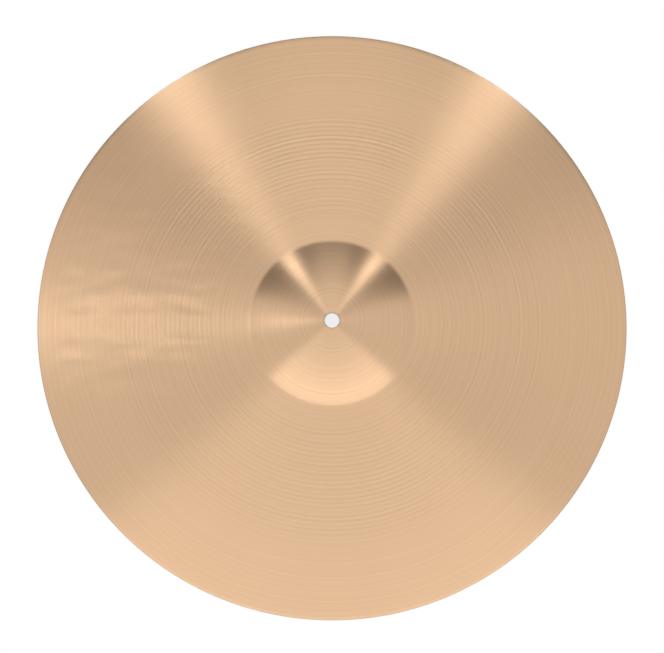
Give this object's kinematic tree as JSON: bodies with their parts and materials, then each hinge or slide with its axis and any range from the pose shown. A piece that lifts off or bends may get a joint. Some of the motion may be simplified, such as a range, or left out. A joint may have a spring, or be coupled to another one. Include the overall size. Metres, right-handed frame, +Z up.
{
  "type": "ride cymbal",
  "caption": "Lathed bronze ride cymbal: a thin shallow-bowed disc with a raised bell, a plain round hole for a stand and a rounded edge.",
  "frame": {"origin": "middle of the circle on which the rim rests, straight below the hole", "axes": "+Z up along the axis of the hole, through the top of the bell; the shape is turned about it, so X and Y are alike"},
  "size_m": [0.508, 0.508, 0.0417],
  "materials": {
    "bronze": "lathed satin bronze with fine concentric lines"
  },
  "bodies": {
    "root": {"cymbal": "bronze"}
  },
  "joints": []
}
